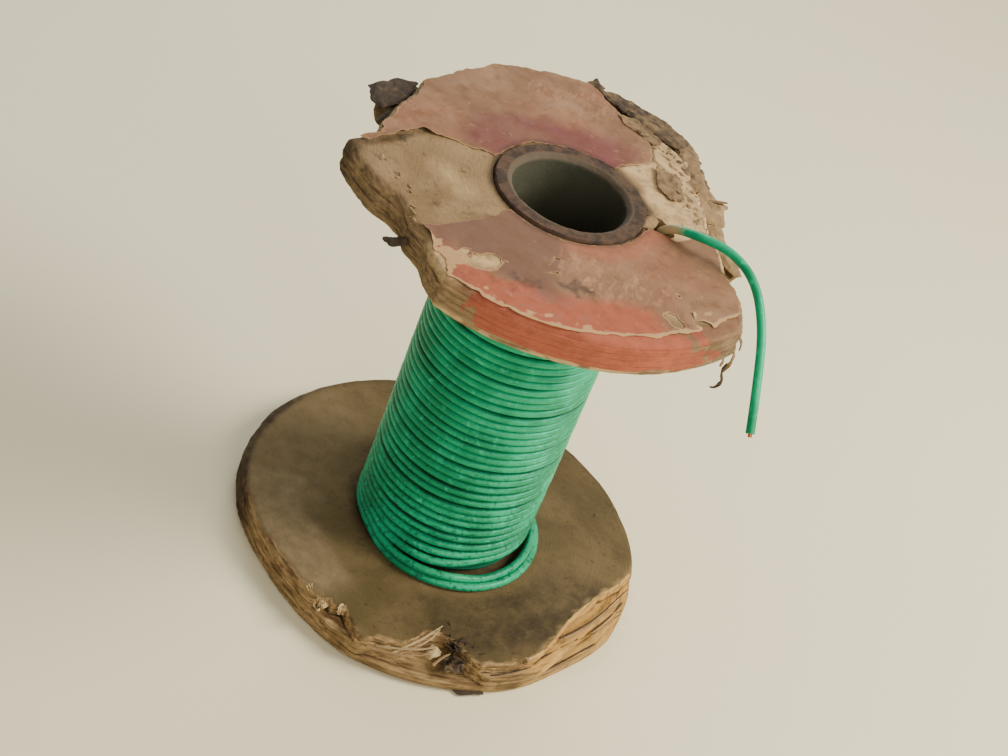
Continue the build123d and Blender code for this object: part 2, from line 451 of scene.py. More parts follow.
def signed_distance(spots, outline):
    """Distance of points from a closed outline, negative inside it."""
    corners = np.array(outline, float)
    nearest = np.full(spots.shape[:-1], 1e9)
    inside = np.zeros(spots.shape[:-1], bool)
    x, y = spots[..., 0], spots[..., 1]
    for a, b in zip(corners, np.roll(corners, -1, 0)):
        along = np.clip(((spots - a) @ (b - a)) / ((b - a) @ (b - a)), 0, 1)
        nearest = np.minimum(nearest, np.linalg.norm(spots - a - along[..., None] * (b - a), axis=-1))
        if a[1] != b[1]:
            inside ^= ((a[1] > y) != (b[1] > y)) & (x < (b[0] - a[0]) * (y - a[1]) / (b[1] - a[1]) + a[0])
    return np.where(inside, -nearest, nearest)


def cut_out(field, points):
    """Faces of a grid of rings where field is negative, cut cleanly, with each vertex's place and field."""
    rings, steps = field.shape
    flat, places = field.ravel(), points.reshape(-1, 3)
    inside = flat < 0
    index = np.arange(rings * steps).reshape(rings, steps)
    beside = np.roll(index, -1, 1)
    cells = np.stack([index[:-1], beside[:-1], beside[1:], index[1:]], -1).reshape(-1, 4)
    used, made = {}, []
    for cell in cells[inside[cells].any(1)]:
        face = []
        for a, b in zip(cell.tolist(), np.roll(cell, -1).tolist()):
            if inside[a]:
                face.append(used.setdefault((a, a), len(used)))
            if inside[a] != inside[b]:
                face.append(used.setdefault((min(a, b), max(a, b)), len(used)))
        if len(face) > 2:
            made.append(face)
    first, second = (np.array([key[c] for key in used], int) for c in range(2))
    gap = flat[first] - flat[second]
    share = np.where(first == second, 0.0, flat[first] / np.where(gap == 0, 1, gap))
    share = np.clip(share, 0.04, 0.96) * (first != second)
    return made, places[first] + share[:, None] * (places[second] - places[first]), (
        flat[first] + share * (flat[second] - flat[first]))


def sheet_shell(faces, count):
    """Faces of the closed solid between two copies of a sheet of count points, the top copy first."""
    pairs = [(a, b) for face in faces for a, b in zip(face, face[1:] + face[:1])]
    known = set(pairs)
    walls = [[a, b, b + count, a + count] for a, b in pairs if (b, a) not in known]
    return [face[::-1] for face in faces] + [[k + count for k in face] for face in faces] + walls


def flake(heap, outline, base, thickness, seed, tone, slope=(0, 0), curl=0.0, ragged=0.5, grid=0.66):
    """Adds a thin torn bit of board.

    outline is in plan, base its middle height, slope how it tilts, curl how much its edge turns up, ragged
    how far its edge wanders, and grid its mesh spacing. A higher tone is paler.
    """
    corners = np.array(outline, float)
    low, high, middle = corners.min(0) - FLAKE_MARGIN, corners.max(0) + FLAKE_MARGIN, corners.mean(0)
    x, y = np.meshgrid(np.arange(low[0], high[0], grid), np.arange(low[1], high[1], grid), indexing="ij")
    spots = np.stack([x, y, 0 * x + seed], -1)
    field = signed_distance(spots[..., :2], corners) + ragged * (
        cloud(spots, 5, seed, 2) + 0.6 * cloud(spots, 1.8, seed + 1, 2))
    field[[0, -1]] = 1.0
    field[:, [0, -1]] = 1.0
    faces, places, depth = cut_out(field, spots)
    if not faces:
        return
    x, y, inside = places[:, 0], places[:, 1], np.clip(-depth, 0, None)
    height = base + slope[0] * (x - middle[0]) + slope[1] * (y - middle[1])
    height = height + 0.3 * cloud(places, 5, seed + 2, 2)
    height = height + curl * np.exp(-inside / 1.8) * (0.6 + 0.6 * cloud(places, 7, seed + 3, 1))
    height = height + 0.18 * cloud(places, 1.6, seed + 6, 2)
    half = 0.5 * thickness * (0.25 + 0.75 * rise(0, 1.5, inside))
    half = half * (1 + 0.3 * cloud(places, 2.5, seed + 4, 2))
    points = np.concatenate([np.stack([x, y, height + half], -1), np.stack([x, y, height - half], -1)])
    shade = np.clip(tone + 0.15 * cloud(points, 2.4, seed + 5, 3), 0.14, 1.0)
    heap.add(points, sheet_shell(faces, len(x)), tone=shade, torn=1.0)


def lying_at(surface, x, y, lowest):
    """Height of the surface at a place, or nothing where it is missing or too far down."""
    hit = surface.ray_cast(Vector((x, y, 300)), Vector((0, 0, -1)))[0]
    return hit.z if hit and hit.z > lowest else None


def chip(heap, surface, x, y, lowest, sunk, length, width, turn_deg, seed, tone, curl=0.0):
    """A small flake of random outline, long in the direction turn_deg, a little sunk in the surface."""
    level = lying_at(surface, x, y, lowest)
    if not level:
        return
    random = np.random.default_rng(seed)
    reach, angle = 0.5 * random.uniform(0.75, 1.25, CHIP_CORNERS), full_turn(CHIP_CORNERS)
    u, v = length * reach * np.cos(angle), width * reach * np.sin(angle)
    turned = math.radians(turn_deg)
    corners = np.stack([x + u * math.cos(turned) - v * math.sin(turned),
                        y + u * math.sin(turned) + v * math.cos(turned)], -1)
    flake(heap, corners, level - sunk, random.uniform(0.8, 1.5), seed, tone, random.normal(0, 0.12, 2), curl,
          ragged=0.35, grid=0.5)


def rooted(surface, start):
    """First points of a fibre that begins in solid board, moved inward where its start hangs clear of it."""
    for share in np.arange(1.0, 0.86, -0.01):
        level = lying_at(surface, *(start[:2] * share), start[2] - 3)
        if level:
            root = np.array([*(start[:2] * (share - 0.01)), min(level, start[2]) - 0.6])
            return [root] if share > 0.985 else [root, start]
    return []


def splinter(heap, route, width, thickness, seed, tone, taper=0.12, sides=7):
    """Adds a tapering strip of torn fibre along a route that is rounded off."""
    line = np.array(route, float)
    for _ in range(3):
        near, far = 0.75 * line[:-1] + 0.25 * line[1:], 0.25 * line[:-1] + 0.75 * line[1:]
        line = np.concatenate([line[:1], np.stack([near, far], 1).reshape(-1, 3), line[-1:]])
    ahead = unit(np.gradient(line, axis=0))
    side = unit(np.cross(ahead, [0.25, 0.15, 1.0]))
    over = np.cross(side, ahead)
    share = np.linspace(0, 1, len(line))
    size = (taper + (1 - taper) * np.sqrt(1 - share)) * (1 + 0.25 * cloud(line, 2.0, seed, 2))
    cosine, sine = np.cos(full_turn(sides))[:, None], np.sin(full_turn(sides))[:, None]
    points = line[:, None] + size[:, None, None] * 0.5 * (
        width * side[:, None] * cosine + thickness * over[:, None] * sine)
    points = points + 0.1 * cloud(points, 1.2, seed + 1, 2)[..., None]
    heap.add(points, rod_faces(len(line), sides), tone=tone, torn=1.0)


# boards

SLOT_START, SLOT_END, SLOT_HALF_WIDTH = (33.63, 5.63), (38.53, 0.63), 2.3
SIDE_SHARES = (0.08, 0.36, 0.64, 0.92)  # rows down the edge of a layer
LEDGE_SHARES = (0.02, 0.2, 0.42, 0.66, 0.86)  # rows from the bottom of a gap out to the next layer's edge
# rows of the two faces in from the rim, the last at the bore
FACE_STEPS = (0.0, 0.3, 0.7, 1.1, 1.6, 2.2, 2.9, 3.7, 4.6, 5.5, 6.6, 7.8, 9.2, 10.8, 12.6, 14.6, 16.8, 19,
              21.5, 24, 26.5, 29, 31.5, 34, 36.5, 39, 41.5, 44, 46.5, 49, 51, 53, 55)
UNDERSIDE_STEPS = (1.2, 2.5, 5, 9, 15, 23, 33, 44, 55)


def face_relief(x, y, top):
    """Height of a worn board face above its nominal plane, in millimetres."""
    points = np.stack([x, y, np.full_like(x, top)], -1)
    return 0.3 * cloud(points, 27, 5, 2) + 0.1 * cloud(points, 5, 6, 3)


def cad_rim(node, height):
    """Radius of a CAD board at a height, for every azimuth."""
    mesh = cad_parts[node].data
    tree = BVHTree.FromPolygons([v.co for v in mesh.vertices], [p.vertices[:] for p in mesh.polygons])
    found = []
    for cosine, sine in zip(cos_az, sin_az):
        start = Vector((0.15 * cosine, 0.15 * sine, height * MM))
        hit = tree.ray_cast(start, Vector((-cosine, -sine, 0)))[0]
        found.append(math.hypot(hit.x, hit.y) / MM)
    return np.array(found)


def slot_edge():
    """How far out the torn slot for the wire reaches at every azimuth, or the bore where there is no slot."""
    radius = np.arange(TUBE_CLEAR_RADIUS, 46, 0.1)[:, None]
    away = off_line(radius * cos_az, radius * sin_az, SLOT_START, SLOT_END)
    return np.where(away < SLOT_HALF_WIDTH, radius, TUBE_CLEAR_RADIUS).max(0)


def board(node, underside, inner, looseness, rounding, roughness, peel, openings, marks, trims=()):
    """One end board as a single closed skin: top face, six torn edges with gaps between, and underside.

    looseness, rounding, roughness and peel say how far the torn layers gape, how worn the top arris is, how
    ragged the edge is and how far in from a torn edge the face has peeled, at each azimuth. openings holds
    (azimuth, half width, layer above the gap, lift, depth) where layers have come apart, and trims
    (azimuth, half width, first layer, last layer, amount). marks gives the attributes of the finish.
    """
    top, on_floor = underside + FLANGE_THICKNESS, underside < 1
    layer_height = FLANGE_THICKNESS / SUBLAYERS
    edges = [top - k * layer_height for k in range(SUBLAYERS + 1)]
    rims, torn_rims = [], []
    for k in range(SUBLAYERS):
        middle = (edges[k] + edges[k + 1]) / 2
        nominal = np.minimum(cad_rim(node, middle), FLANGE_RADIUS)
        torn = rise(0.4, 3.0, FLANGE_RADIUS - nominal)
        torn = highest(*(np.roll(torn, step) for step in range(-4, 5)))
        for centre, half_width, first, last, amount in trims:
            if first <= k <= last:
                nominal = nominal + amount * around(centre, half_width)
        spots = polar(nominal, azimuth, middle * 3.1)
        ragged = roughness * (cloud(spots, 10, 31 + k, 2) + 0.55 * cloud(spots, 2.8, 47 + k, 2))
        worn = 0.35 * cloud(polar(nominal, azimuth, middle), 16, 61, 2) + 0.15 * cloud(spots, 5, 71 + k, 2)
        rims.append(nominal - 0.3 + torn * (ragged - 0.4) + (1 - torn) * worn)
        torn_rims.append(torn)

    def lift(k, radius):
        """How far layer k is lifted off the one below, at each azimuth and radius."""
        total = 0.0
        for centre, half_width, above, height, depth in openings:
            if k <= above:
                inside = np.clip((rims[above] - radius) / depth, 0, 1)
                total = total + height * around(centre, half_width) * (1 - inside) ** 2 * 0.75 ** (above - k)
        return total

    rows = []

    def row(radius, height, torn, gap, layer):
        rows.append((radius, height + lift(layer, radius), torn, gap))

    def side_row(radius, height, torn, gap, layer):
        """A row below the worn arris: rows that would lie inside the rounding are laid along its foot."""
        shade = np.clip((top - height) / np.maximum(rounding, 0.01), 0, 1)
        row(np.where(shade < 1, rims[0] - 0.1 * (1 - shade), radius),
            np.minimum(height, top - rounding * (1 + 0.02 * shade)), torn, gap * (shade >= 1), layer)

    outer = rims[0] - 0.1
    for distance in FACE_STEPS[::-1]:
        radius = outer - distance / FACE_STEPS[-1] * (outer - inner)
        spots = polar(radius, azimuth, top)
        inside = outer - radius
        drop = rounding - np.sqrt(np.maximum(rounding ** 2 - np.clip(rounding - inside, 0, None) ** 2, 0))
        near = np.exp(-inside / 3.0)
        rough = torn_rims[0] * near * 0.45 * cloud(spots, 2.4, 91, 2)
        edge_worn = rise(2.6, 0.4, inside + 1.4 * cloud(spots, 4, 92, 2))
        peeled = rise(1.0, 0.1, (inside + 0.5 * peel * cloud(spots, 6, 93, 2)) / peel)
        relief = face_relief(spots[:, 0], spots[:, 1], top) * (1 - 0.7 * near)
        row(radius, top + relief - drop + rough, np.maximum(torn_rims[0] * peeled, 0.5 * edge_worn), 0.0, 0)
    for k in range(SUBLAYERS):
        torn = torn_rims[k]
        for share in SIDE_SHARES:
            height = edges[k] - share * layer_height
            spots = polar(rims[k], azimuth, height * 7.0)
            fray = (0.08 + 0.3 * torn) * cloud(spots, 8, 101, 2)
            fray = fray + (0.04 + 0.16 * torn) * cloud(spots, 2.2, 107, 2)
            bulge = 0.12 * torn * (2 * abs(share - 0.5)) ** 2
            short = max(RIM_ROUND - (height - underside), 0)
            arris = RIM_ROUND - math.sqrt(max(RIM_ROUND ** 2 - short ** 2, 0))
            radius = rims[k] + fray - bulge - arris * (1 - 0.6 * torn)
            side_row(radius, height, np.maximum(0.62, torn), 0.0, k)
        if k == SUBLAYERS - 1:
            break
        slit = rise(0.0, 0.7, cloud(polar(FLANGE_RADIUS, azimuth, 9.0 * k), 17, 131 + k, 2))
        loose = torn * looseness
        depth = 0.06 + 0.1 * slit * (1 - torn) + loose * (0.5 + 2.6 * slit)
        open_by = 0.02 + loose * (0.12 + 0.6 * slit)
        crack = 0.0
        for centre, half_width, above, _, reach in openings:
            if above == k:
                depth = np.maximum(depth, reach * around(centre, half_width))
                crack = crack + around(centre, half_width)
        groove = np.minimum(rims[k], rims[k + 1]) - depth
        flat = edges[k + 1]
        # painted shade: dark, and the gap values made from it, darken the foot of deep gaps between the
        # layers
        dark = rise(0.15, 0.9, depth)
        side_row(groove + 0.55 * (rims[k] - groove), flat + open_by * 0.35, torn, 0.5 * dark, k)
        side_row(groove, flat + 0.05, torn, dark, k)
        for share in LEDGE_SHARES:
            radius = groove + share * (rims[k + 1] - 0.2 - groove)
            bare = rise(0.2, 2.0, radius - rims[k])
            rough = bare * (0.3 * cloud(polar(radius, azimuth, flat), 5, 141 + k, 3))
            # painted shade of the gap, spread as a band at the foot of each opening
            gap = np.maximum((1 - bare) * (1.0 - share) * dark,
                             np.clip(1.6 * crack, 0, 1) * max(0, 1 - 2.5 * share))
            height = flat - open_by * 0.5 * min(1, 3 * share) + rough
            side_row(radius, height, np.maximum(torn, bare), gap, k + 1)
    for distance in UNDERSIDE_STEPS:
        radius = rims[-1] - distance / UNDERSIDE_STEPS[-1] * (rims[-1] - inner)
        uneven = 0.15 * cloud(polar(radius, azimuth, underside), 12, 151, 2)
        row(radius, underside + (np.abs(uneven) if on_floor else uneven), 0.1, 0.0, SUBLAYERS - 1)

    radius, height, torn, gap = (np.array([np.broadcast_to(r[c], AZIMUTHS) for r in rows]) for c in range(4))
    height = np.clip(height, underside, None) if on_floor else height
    heap = Heap()
    heap.add(polar(radius, azimuth, height), ring_faces(len(rows), AZIMUTHS), torn=torn, gap=gap,
             **marks(radius, azimuth + 0 * radius, height, torn))
    return heap, rims, torn_rims


# looks of the boards

# dark lines painted as shade: in cracks, in small holes and under a lifted paper flap
CRACKS = (((-75, -20), (-65, -8), 3.5), ((-65, -8), (-56, 5), 3.0), ((24, 45.5), (29, 41.5), 1.2),
          ((29, 41.5), (37, 39), 1.2), ((19, 37), (21, 34), 1.0), ((47, 31), (47.6, 27), 0.9),
          ((53.2, 20.5), (53.2, 16.5), 0.9))  # start, end and half width
SCARS = ((1, (27, 18), (46, 9), 6), (0.6, (48, -5), (66, -24), 4), (0.5, (-46, -16), (-36, -24), 9),
         (1, (-26, -60), (-14, -61), 9), (0.9, (-38, -65), (-27, -79), 7),
         (1, (50, -46), (64, -36), 7))  # strength, start, end and half width
# the line where two layers part is darkened as painted shade of its groove
PARTING = ((-5, 81), (6.2, 66.5), (19, 61), (21.5, 56.5), (24.5, 45), (13.5, 32))  # where two layers part


def upper_marks(radius, angle, height, torn):
    """Red of the upper rim round the front, painted shade round the tube, in the cracks and along the
    parting, darker fibre low on the left break that is partly painted shade, and stain where the paper has
    come away.
    """
    spots = polar(radius, angle, height)
    x, y = spots[..., 0], spots[..., 1]
    wander = 1.2 * cloud(spots, 9, 201, 2)
    ragged = angle + 0.13 * cloud(spots, 9, 202, 2) + 0.07 * cloud(spots, 3, 204, 2)
    crumbs, patches = cloud(spots, 7, 203, 2), cloud(spots, 6, 207, 3)
    above, below, rim = height - UPPER_UNDERSIDE, DRUM_HEIGHT - height, rise(74, 80, radius)
    top_face = rise(4, 2, below)
    red = band(ragged, -100, -44, 10) * rise(2.2, 3.6, above + wander)
    red = red * rise(76, 79, radius + 0.4 * wander)
    stain = rim * rise(6, 1, below) * highest(band(angle, 60, 170), 0.8 * band(angle, -120, -10))
    scars = sum(share * near_line(x, y, *line) for share, *line in SCARS)
    scars = scars + 1.1 * band(angle, -8, 62, 15) * rise(32, 36, radius)
    foot_wear = band(angle, -106, -46, 8) * rise(3.6, 1.8, above) * rim
    foot_wear = 1.3 * foot_wear * rise(-0.3, 0.3, cloud(spots, 6, 208, 3))
    fresh = np.clip(scars, 0, 1) * top_face + np.clip(foot_wear, 0, 1)
    cracks = sum(near_line(x, y, *line) for line in CRACKS)
    parting = sum(near_line(x, y, start, end, 1.6) for start, end in zip(PARTING[:-1], PARTING[1:]))
    tip = band(angle, 184, 240, 6) * rise(13, 3, FLANGE_RADIUS - radius) * (0.35 + 0.5 * patches)
    dark = highest(
        # painted shade round the tube, where the board meets it
        rise(33.5, 29.5, radius + 0.8 * wander) * 0.9,
        # darker low on the left break: partly the fibre's own colour, partly painted shade of the side turned
        # from the light
        0.4 * band(angle, -170, -130, 14) * rise(3, 8, below),
        0.7 * band(angle, 150, 184, 8) * rise(1.5, 3, below),
        0.15 * band(angle, 15, 75, 12) * rise(50, 60, radius + 3 * crumbs),
        # painted shade in the cracks and along the parting
        0.9 * np.clip(cracks, 0, 1) * top_face,
        np.clip(parting, 0, 1) * top_face,
        0.35 * band(angle, -44, -16, 8) * rise(70, 76, radius),
        np.clip(tip, 0, 0.8),
        0.85 * band(angle, 186, 197, 4) * rim)
    return {"red": red, "stain": stain, "dark": dark, "fresh": fresh}


def lower_marks(radius, angle, height, torn):
    """Darker and lighter places on the lower board's grubby face, with painted shade on the left rim, over
    the right and round the foot of the winding, and painted light on the left of the face.
    """
    drift = 0.35 * cloud(polar(radius, angle, height), 18, 211, 3)
    front = rise(42, 50, radius) * rise(84, 70, radius) * (0.8 + drift) * (1 - torn)
    dark = highest(
        0.95 * band(angle, -75, -15, 25) * front,
        0.6 * band(angle, 35, 165, 15) * rise(78, 83, radius + 3 * drift),
        # painted shade: the left rim turned from the light, the right of the board where the light falls
        # brightest, and the face round the foot of the winding
        band(angle, 160, 224, 20) * rise(78.5, 81, radius + 2 * drift),
        0.2 * band(angle, -40, 60, 20),
        0.8 * rise(41, 36, radius + 3 * drift))
    pale = highest(
        0.75 * band(angle, -165, -118, 12) * rise(52, 60, radius + 12 * drift) * (1 - torn),
        # painted light on the left of the face, where the upper board shades it
        0.35 * band(angle, 150, 200, 20) * rise(44, 52, radius))
    return {"dark": np.clip(dark, 0, 1), "pale": pale, "fresh": band(angle, -44, 4, 8) * torn}


lower_finish = board_finish("fibre_board_lower", (108, 90, 57), (86, 72, 41), (172, 142, 96), (106, 81, 50),
                            (216, 170, 94))
upper_finish = board_finish("fibre_board_upper", (153, 126, 88), (126, 101, 66), (160, 134, 96),
                            (118, 95, 69), (206, 174, 126), rim_paint=(172, 94, 68))

lower_heap = board(
    "flange_lower", 0.0, np.full(AZIMUTHS, TUBE_CLEAR_RADIUS), marks=lower_marks,
    looseness=ramp_of((0, 1.0), (60, 0.5), (180, 0.25), (235, 0.25), (270, 0.5), (300, 1.0)),
    rounding=ramp_of((0, 0.8), (40, 2.0), (170, 2.5), (200, 3.2), (240, 2.6), (262, 1.0), (330, 0.7)),
    roughness=ramp_of((0, 0.4), (60, 0.7), (200, 0.5), (250, 0.6), (270, 0.8), (300, 0.4)),
    peel=ramp_of((20, 1.2), (60, 3.0), (200, 2.5), (240, 2.0), (262, 1.2), (350, 1.2)),
    openings=[(-26, 30, 0, 1.0, 7.0), (-24, 26, 1, 1.3, 9.0), (-12, 16, 2, 0.9, 6.0), (-32, 22, 3, 1.2, 8.0)],
    trims=[(-34, 22, 4, 5, -2.2)])[0]

upper_heap, upper_rims, upper_torn = board(
    "flange_upper", UPPER_UNDERSIDE, slot_edge(), marks=upper_marks,
    looseness=ramp_of((0, 0.7), (60, 0.8), (100, 0.3), (180, 0.3), (240, 0.15), (300, 0.2)),
    rounding=ramp_of((0, 0.8), (70, 1.0), (100, 1.8), (160, 1.6), (184, 1.2), (196, 2.8), (225, 3.2),
                     (238, 2.4), (300, 2.2), (330, 1.6)),
    roughness=ramp_of((0, 0.9), (60, 1.1), (90, 0.6), (180, 0.5), (230, 0.4), (300, 0.5)),
    peel=ramp_of((0, 5.0), (90, 5.0), (130, 3.0), (240, 2.0), (320, 3.0)),
    openings=[(20, 30, 1, 0.9, 6.0), (60, 25, 3, 1.2, 6.0)],
    trims=[(178, 12, 1, 5, -3.0), (171, 8, 1, 5, -6.0)])


# loose parts of the boards, each row being what flake or splinter takes after the heap

# layers that have come loose at the front of the lower board, and strips of them
for row in (
        (((14, -78), (17, -79.5), (21, -76.5), (19, -72.5), (15.5, -73)), 13.0, 1.6, 651, 0.74, (0.15, 0.25),
         1.8, 1.3, 0.35),
        (((20, -74), (26, -69), (31, -71), (29, -77), (24, -79)), 9.5, 2.5, 671, 0.3, (0.1, 0.0), 0.0, 1.2),
        (((28, -77.5), (33, -79.3), (42, -74), (38, -71.5), (31, -73)), 1.3, 1.0, 681, 0.14, (-0.02, 0.02),
         0.0, 0.7)):
    flake(lower_heap, *row)
for row in (
        (((3, -82.5, 11.8), (8, -77, 13.8), (12, -72, 15.0), (17, -63, 16.2)), 1.3, 0.7, 701, 0.76),
        (((5, -81.5, 11.5), (10, -78.5, 14.2), (15, -71, 15.5), (16.5, -66, 17.0)), 1.1, 0.6, 703, 0.72),
        (((-4, -82, 11.6), (4, -81, 13.4), (12, -78.5, 14.6), (18, -74, 15.4)), 1.5, 0.8, 705, 0.72),
        (((-7, -83, 10.5), (3, -83.5, 12.0), (11, -81, 13.0), (17, -76.5, 13.6)), 1.6, 0.8, 709, 0.64),
        (((19, -78, 9.5), (21, -75.5, 12.5), (23.5, -74, 14.4)), 1.5, 1.0, 707, 0.7)):
    splinter(lower_heap, *row)
# long fibres in its open gaps, given as azimuths and radii
for azimuths_deg, radii, height, width, seed, tone in (
        ((-33, -24, -14, -4, 2), (73.6, 74.8, 76.8, 79.2, 82.4), 12.2, 0.8, 721, 0.24),
        ((-32, -22, -12, -3), (74.8, 76.2, 78.2, 80.8), 12.3, 0.9, 723, 0.62),
        ((-20, -14, -8, -2), (78.0, 79.2, 80.6, 82.2), 9.4, 0.8, 725, 0.22),
        ((-22, -14, -6), (79.4, 80.8, 82.2), 9.5, 0.9, 727, 0.6),
        ((-48, -41, -34, -26, -20), (80.8, 80.2, 79.6, 80.0, 81.4), 4.9, 1.0, 729, 0.22),
        ((-50, -42, -34, -26), (81.8, 81.3, 80.8, 81.4), 4.8, 0.9, 731, 0.6),
        ((-42, -34, -26), (77.4, 76.2, 77.0), 9.6, 0.7, 733, 0.26),
        ((-60, -54, -47), (82.2, 81.4, 80.4), 9.4, 0.7, 735, 0.26)):
    route = [(*place_at(a, r), height + 0.25 * math.sin(2.1 * a)) for a, r in zip(azimuths_deg, radii)]
    splinter(lower_heap, route, width, 0.7, seed, tone, taper=0.3)
# tufts of fibre: place, height, number of fibres, reach, and their darkest and palest tone
tuft_random = np.random.default_rng(17)
lower_surface = lower_heap.surface()
for centre_x, centre_y, base, count, reach, tone_low, tone_high in (
        (25, -67.5, 12.0, 34, 5.5, 0.1, 0.34), (27, -73, 8.5, 16, 4.5, 0.1, 0.3),
        (-29.2, -75.5, 12.4, 12, 2.4, 0.66, 0.92), (-21.5, -74, 12.4, 8, 2.0, 0.66, 0.92),
        (-36, -69, 12.6, 4, 1.6, 0.7, 0.9), (52, -62, 13.0, 4, 1.2, 0.6, 0.8)):
    for k in range(count):
        spread = tuft_random.normal(0, 0.42 * reach, 2)
        lean = tuft_random.normal(0, 0.7 * reach, 2)
        start = np.array([centre_x + spread[0], centre_y + spread[1], base])
        tip = start + [0.6 * lean[0], 0.6 * lean[1], tuft_random.uniform(1.8, 4.2)]
        bend = (start + tip) / 2 + [*tuft_random.normal(0, 0.8, 2), 0.8]
        wide = tuft_random.uniform(0.8, 1.8) * (1.3 if tone_low > 0.5 else 1.0)
        tone, roots = tuft_random.uniform(tone_low, tone_high), rooted(lower_surface, start)
        if roots:
            splinter(lower_heap, roots + [bend, tip], wide, 0.6, 900 + k, tone, sides=5)

# bark-like layers at the upper board's broken right and back edges, given as azimuths and radii
for outline, *row in (
        (((93, 80), (88, 81.5), (82, 81.5), (75, 80), (69, 79), (62, 77.5), (60, 71), (66, 67), (74, 68),
          (84, 71), (90, 75)), 177.4, 2.2, 711, 0.32, (-0.03, -0.04), 0.7, 0.8),
        (((66, 76), (62, 77.5), (57, 74.5), (53, 70), (48, 67), (44, 64), (40, 63), (40, 56), (46, 55),
          (54, 60), (60, 66)), 176.8, 2.2, 721, 0.46, (0.0, 0.0), 0.7, 0.9),
        (((43, 63), (38, 63), (34, 64.5), (31.5, 66.5), (29, 64), (24, 62), (20, 61), (20, 54), (28, 53),
          (36, 54)), 176.8, 2.0, 731, 0.6, (-0.03, 0.0), 0.5, 0.6),
        (((22, 60.5), (16, 60.5), (12, 61), (6, 64), (1, 67), (-4, 68.5), (-6, 66), (2, 58), (12, 54),
          (20, 54)), 176.0, 2.0, 741, 0.6, (-0.05, 0.0), 0.4, 0.7),
        (((88, 77), (80, 75), (72, 73), (64, 71), (66, 76), (74, 79.5), (82, 81), (88, 81.5)), 173.6, 3.0,
         751, 0.3, (0, 0), 0.0, 0.9),
        (((60, 71), (50, 66), (44, 62), (46, 70), (54, 75), (60, 77)), 172.4, 3.0, 761, 0.34, (0, 0), 0.0,
         0.9)):
    flake(upper_heap, [place_at(*corner) for corner in outline], *row)
# smaller flakes on and between them, and the dark scraps at the left
for row in (
        (((27, 61), (40, 60), (43, 66), (36, 72), (27, 70)), 172.5, 1.5, 863, 0.4, (0, 0), 0.0, 0.8),
        (((-5, 77), (4, 76), (5, 82), (-3, 84)), 175.2, 1.2, 865, 0.4, (0, 0), 0.0, 0.6),
        (((58, -6), (66, -8), (67, 0), (60, 3)), 173.5, 1.2, 867, 0.5, (0, 0), 0.0, 0.6),
        (((26, 40), (35.5, 38), (40.5, 25), (35.5, 22), (29, 27)), 178.9, 1.1, 771, 0.44, (0.0, 0.05), 0.4),
        (((-10.5, 82), (-8.6, 85), (-7.4, 89), (-5.6, 85), (-3, 83), (-5, 79.5)), 178.3, 1.3, 811, 0.28,
         (0.0, 0.08), 0.0, 0.35, 0.4),
        (((6, 67), (14, 67), (21, 60), (17, 58), (9, 62)), 178.4, 0.9, 801, 0.46, (0, 0), 0.6, 0.8),
        (((12, 66), (20, 64), (26, 57), (22, 55), (15, 60)), 178.6, 0.8, 805, 0.4, (0, 0), 0.5, 0.8),
        (((-85.5, 24), (-81, 30.5), (-76.5, 36), (-69, 37.5), (-69, 29), (-71, 20), (-76, 13.5), (-81, 16.5)),
         173.6, 2.2, 821, 0.2, (0.0, 0.03), 0.9, 0.9),
        (((28.4, 10), (33, 10), (34, 6.5), (33, 2.5), (31.4, -2), (28.3, -1.5)), 177.1, 1.6, 833, 0.5, (0, 0),
         0.0, 0.25, 0.4),
        (((-53.5, -57.5), (-51.5, -60.5), (-48, -60), (-41, -52), (-43.5, -49.5), (-50, -55)), 169.0, 3.0,
         831, 0.24, (0.1, -0.15), 0.0, 1.1)):
    flake(upper_heap, *row)
# a raised sliver at the right, a strip at the left, and fibres hanging from the front right
for row in (
        (((44, 33, 176.5), (50, 33.5, 178.0), (56, 34.5, 179.2)), 3.2, 1.1, 813, 0.45),
        (((-71, 19, 172.0), (-73, 12, 173.5), (-75, 4, 174.5), (-74.5, 1, 174.5)), 3.0, 1.2, 815, 0.16),
        (((70, -34, 168), (75, -36, 165.5), (75.2, -37, 161), (73.6, -38.5, 157.5)), 2.2, 1.1, 841, 0.5, 0.3),
        (((74.5, -37, 160), (73.2, -38.5, 157), (75, -39.5, 154), (73.4, -41, 151.5), (71.5, -41, 151)), 1.8,
         1.0, 847, 0.3, 0.35),
        (((72, -28, 168), (76.5, -29, 166), (76.8, -30, 162.5)), 2.4, 1.1, 843, 0.6),
        (((68, -41, 168), (72, -42, 165), (71.5, -43, 162)), 2.0, 1.0, 845, 0.5)):
    splinter(upper_heap, *row)

# crumbs and chips along the broken right edge, and pale ones along the top of the break at the left
RIGHT_CHIPS, LEFT_CHIPS = 110, 34
CHIP_LINE = np.array([(-70, -19), (-66, -26), (-58, -32), (-52, -39), (-48, -50), (-45, -60), (-38, -68),
                      (-32, -76)])
chip_random = np.random.default_rng(29)
upper_surface = upper_heap.surface()
for k in range(RIGHT_CHIPS):
    place_deg = chip_random.uniform(8, 94)
    reach = upper_rims[1][int(place_deg * AZIMUTHS / 360)] - abs(chip_random.normal(0, 5.0)) - 0.6
    long = chip_random.uniform(1.6, 5.2)
    broad, turn_deg = long * chip_random.uniform(0.3, 0.75), place_deg + 90 + chip_random.normal(0, 28)
    tone = chip_random.uniform(0.32, 0.54) + 0.12 * (place_deg < 50)
    chip(upper_heap, upper_surface, *place_at(place_deg, reach), 170, 0.3, long, broad, turn_deg, 1000 + k,
         tone)
